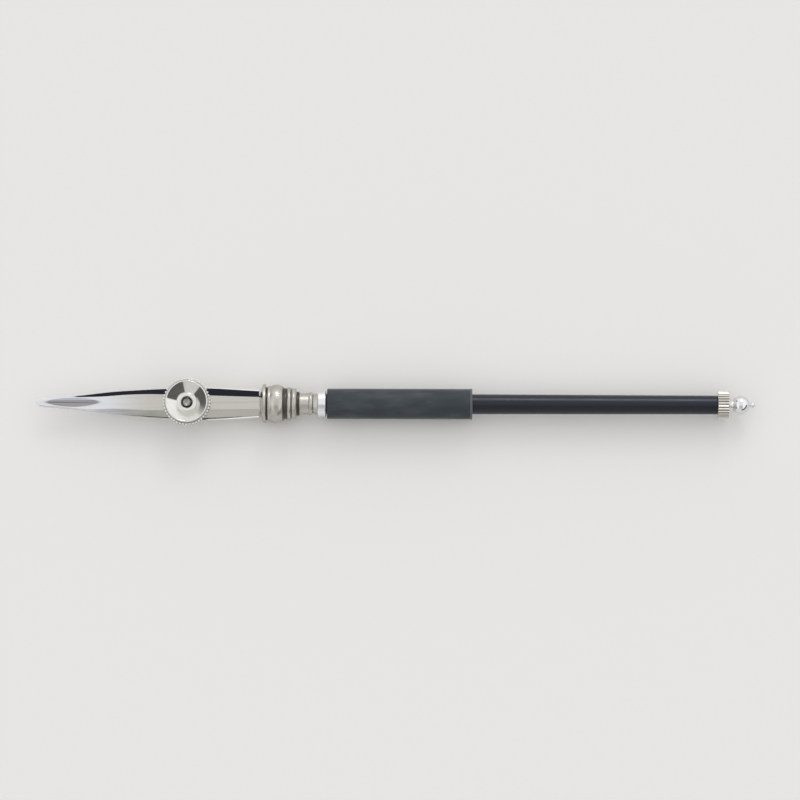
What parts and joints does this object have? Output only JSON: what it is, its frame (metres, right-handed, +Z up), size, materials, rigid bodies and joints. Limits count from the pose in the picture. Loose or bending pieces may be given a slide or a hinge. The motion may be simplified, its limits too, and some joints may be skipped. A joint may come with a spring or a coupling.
{
  "type": "ruling pen",
  "caption": "Technical drawing pen: leaf-shaped steel blades opened by a dished knurled nut, with a turned ferrule, grip sleeve, slim handle and ball finial.",
  "frame": {"origin": "on the surface the pen is laid on, under the middle of its length, with the pen's axis 3.92 mm above it", "axes": "+X along the pen from the writing tip to the finial, +Z up along the adjusting stud, +Y across the blades"},
  "size_m": [0.1438, 0.0096, 0.0078],
  "materials": {
    "blade_steel": "ground and polished along the blade",
    "stud_steel": "turned steel",
    "nut_nickel": "turned and nickel plated",
    "ferrule_nickel": "turned nickel silver, polished",
    "collar_chrome": "bright chrome plate",
    "sleeve_grey": "matt blue-grey sleeve",
    "handle_black": "satin black",
    "bush_brass": "turned brass",
    "end_nickel": "knurled, nickel plated",
    "finial_chrome": "polished chrome"
  },
  "bodies": {
    "root": {"lower_blade": "blade_steel", "adjusting_stud": "stud_steel", "front_flange": "ferrule_nickel", "ferrule": "ferrule_nickel", "slotted_shank": "ferrule_nickel", "blade_pins": "stud_steel", "handle_collar": "collar_chrome", "grip_sleeve": "sleeve_grey", "handle_tube": "handle_black", "tie_rod": "stud_steel", "tail_bush": "bush_brass"},
    "upper_blade": {"upper_blade": "blade_steel"},
    "adjusting_nut": {"adjusting_nut": "nut_nickel"},
    "finial": {"finial": "finial_chrome"},
    "end_nut": {"end_nut": "end_nickel"}
  },
  "joints": [
    {"name": "blade_flex", "type": "hinge", "parent": "root", "child": "upper_blade", "pos_m": [-0.0254, 0, 0.0043], "axis": [0, 1, 0], "range_deg": [-0.47, 2.11]},
    {"name": "nut_turn", "type": "hinge", "parent": "upper_blade", "child": "adjusting_nut", "pos_m": [-0.0417, 0, 0.00492], "axis": [0, 0, 1], "range_deg": [-120, 540]},
    {"name": "finial_slide", "type": "slide", "parent": "root", "child": "finial", "axis": [1, 0, 0], "range_m": [0, 0.003]},
    {"name": "end_nut_turn", "type": "hinge", "parent": "finial", "child": "end_nut", "pos_m": [0.06545, 0, 0.00392], "axis": [1, 0, 0], "range_deg": [0, 2160]}
  ],
  "couplings": [
    {"joint": "blade_flex", "follows": "nut_turn", "ratio": 0.0039056},
    {"joint": "end_nut_turn", "follows": "finial_slide", "rad_per_m": 12566}
  ]
}
